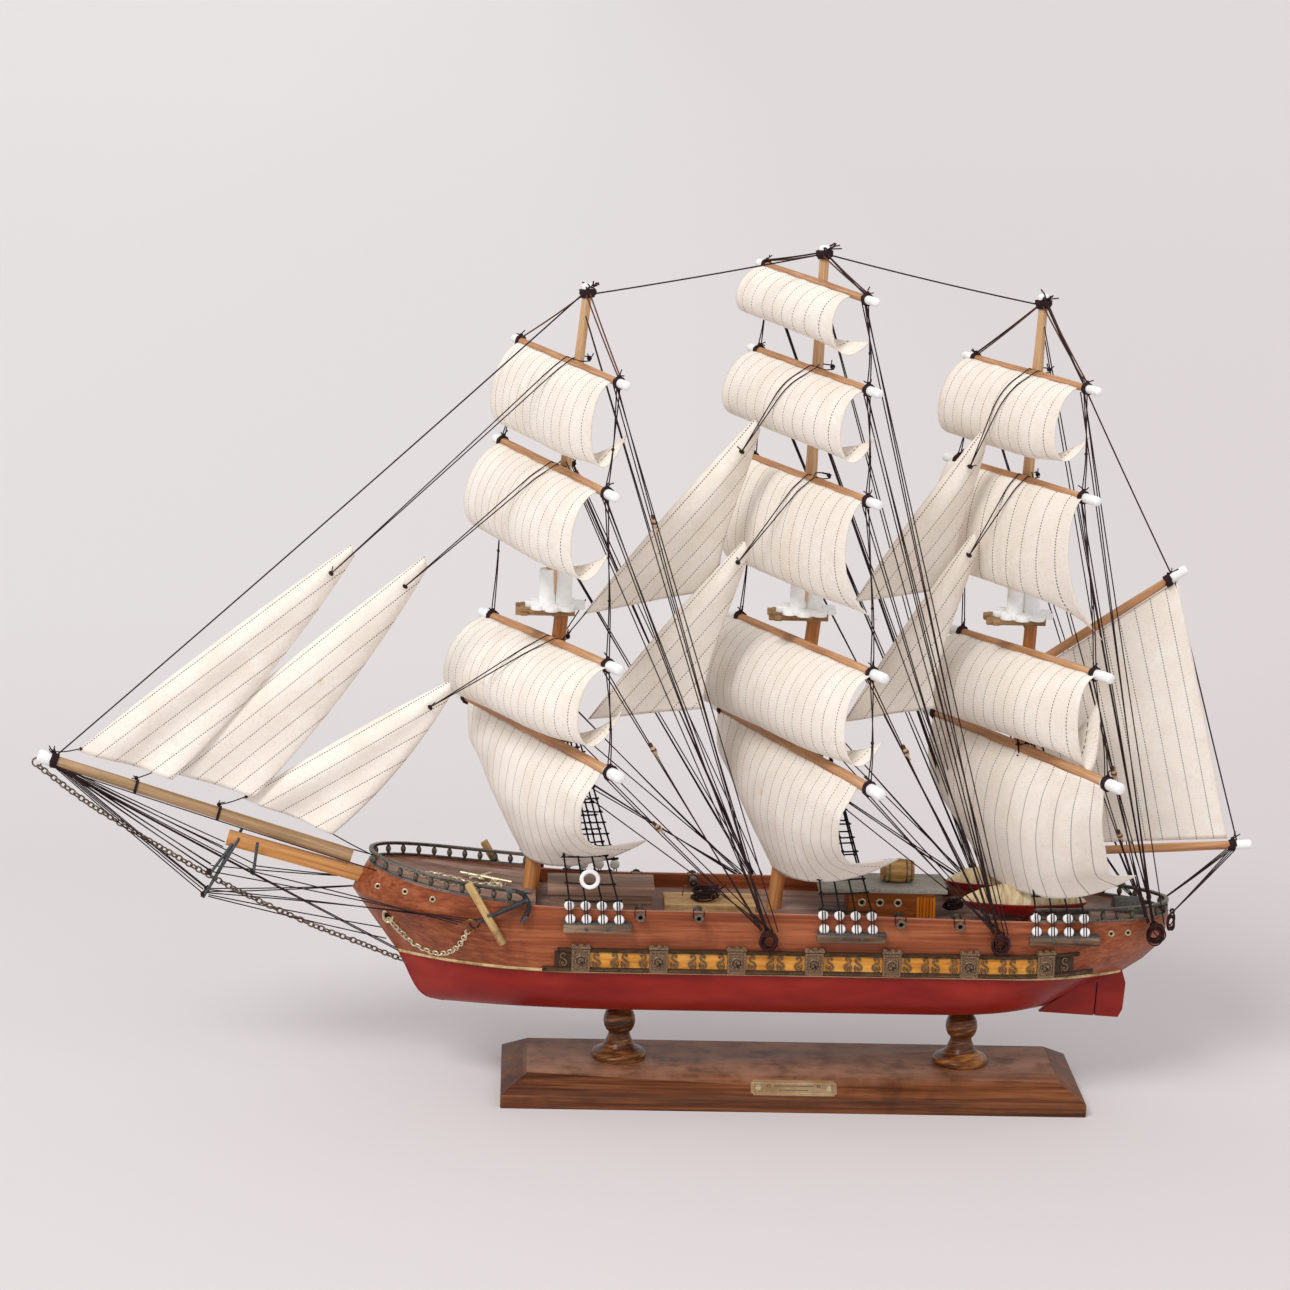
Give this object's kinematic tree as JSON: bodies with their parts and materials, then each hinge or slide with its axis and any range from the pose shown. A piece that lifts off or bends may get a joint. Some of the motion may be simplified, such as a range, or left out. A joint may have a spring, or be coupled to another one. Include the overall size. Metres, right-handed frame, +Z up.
{
  "type": "model sailing ship",
  "caption": "Full-rigged model sailing ship with bellied cloth sails, thread rigging and a painted wooden hull, fixed on turned pedestals to a bevelled wooden stand.",
  "frame": {"origin": "centre of the stand's flat underside", "axes": "+X toward the stern, +Y to starboard, +Z up"},
  "size_m": [0.7074, 0.2218, 0.4975],
  "materials": {
    "walnut": "oiled",
    "turned_oak": "dark varnish, worn",
    "plate_brass": "brushed",
    "red_paint": "satin paint on wood",
    "mahogany": "satin varnish",
    "deck_wood": "matte stain",
    "cream_strip": "matte",
    "bronze_cast": "dark bronze with gilt inlay",
    "pale_dowel": "matte",
    "weathered_wood": "matte",
    "light_wood": "raw",
    "house_orange": "satin stain",
    "grey_board": "matte stain",
    "boat_red": "gloss paint on cast metal",
    "canvas": "painted canvas",
    "dark_metal": "blackened",
    "gilt_metal": "bright",
    "white_plastic": "matte",
    "black_cord": "tarred cord",
    "brown_thread": "waxed thread",
    "sailcloth": "striped cotton, starched"
  },
  "bodies": {
    "root": {"stand_base": "walnut", "fore_pedestal": "turned_oak", "aft_pedestal": "turned_oak", "name_plate": "plate_brass", "plate_screws": "plate_brass", "hull_bottom": "red_paint", "hull_topsides": "mahogany", "decks": "deck_wood", "waterline_strip": "cream_strip", "rudder_board": "red_paint", "gallery_frieze": "bronze_cast", "bow_rail": "bronze_cast", "stern_rail": "bronze_cast", "bowsprit": "house_orange", "jibboom": "pale_dowel", "martingale_pins": "dark_metal", "hatch_block": "weathered_wood", "plank_stack": "light_wood", "deckhouse": "house_orange", "deckhouse_roof": "grey_board", "barrel": "light_wood", "boat_hulls": "boat_red", "boat_covers": "canvas", "cannons": "dark_metal", "companion_hood": "grey_board", "channel_boards": "weathered_wood", "deadeyes": "white_plastic", "shrouds": "black_cord", "anchors": "dark_metal", "anchor_stocks": "light_wood", "anchor_chains": "gilt_metal", "bobstay_chain": "dark_metal", "eyelets": "gilt_metal", "life_ring": "white_plastic", "lower_masts": "pale_dowel", "topmasts": "pale_dowel", "mast_tops": "white_plastic", "crosstrees": "weathered_wood", "white_tips": "white_plastic", "fore_yards": "pale_dowel", "main_yards": "pale_dowel", "mizzen_yards": "pale_dowel", "spanker_spars": "pale_dowel", "fore_course": "sailcloth", "fore_topsail": "sailcloth", "fore_topgallant": "sailcloth", "fore_royal": "sailcloth", "main_course": "sailcloth", "main_topsail": "sailcloth", "main_topgallant": "sailcloth", "main_royal": "sailcloth", "main_skysail": "sailcloth", "mizzen_course": "sailcloth", "mizzen_upper_sails": "sailcloth", "jibs": "sailcloth", "staysails": "sailcloth", "spanker": "sailcloth", "stays": "brown_thread", "running_rigging": "brown_thread", "thread_hanks": "brown_thread"}
  },
  "joints": []
}
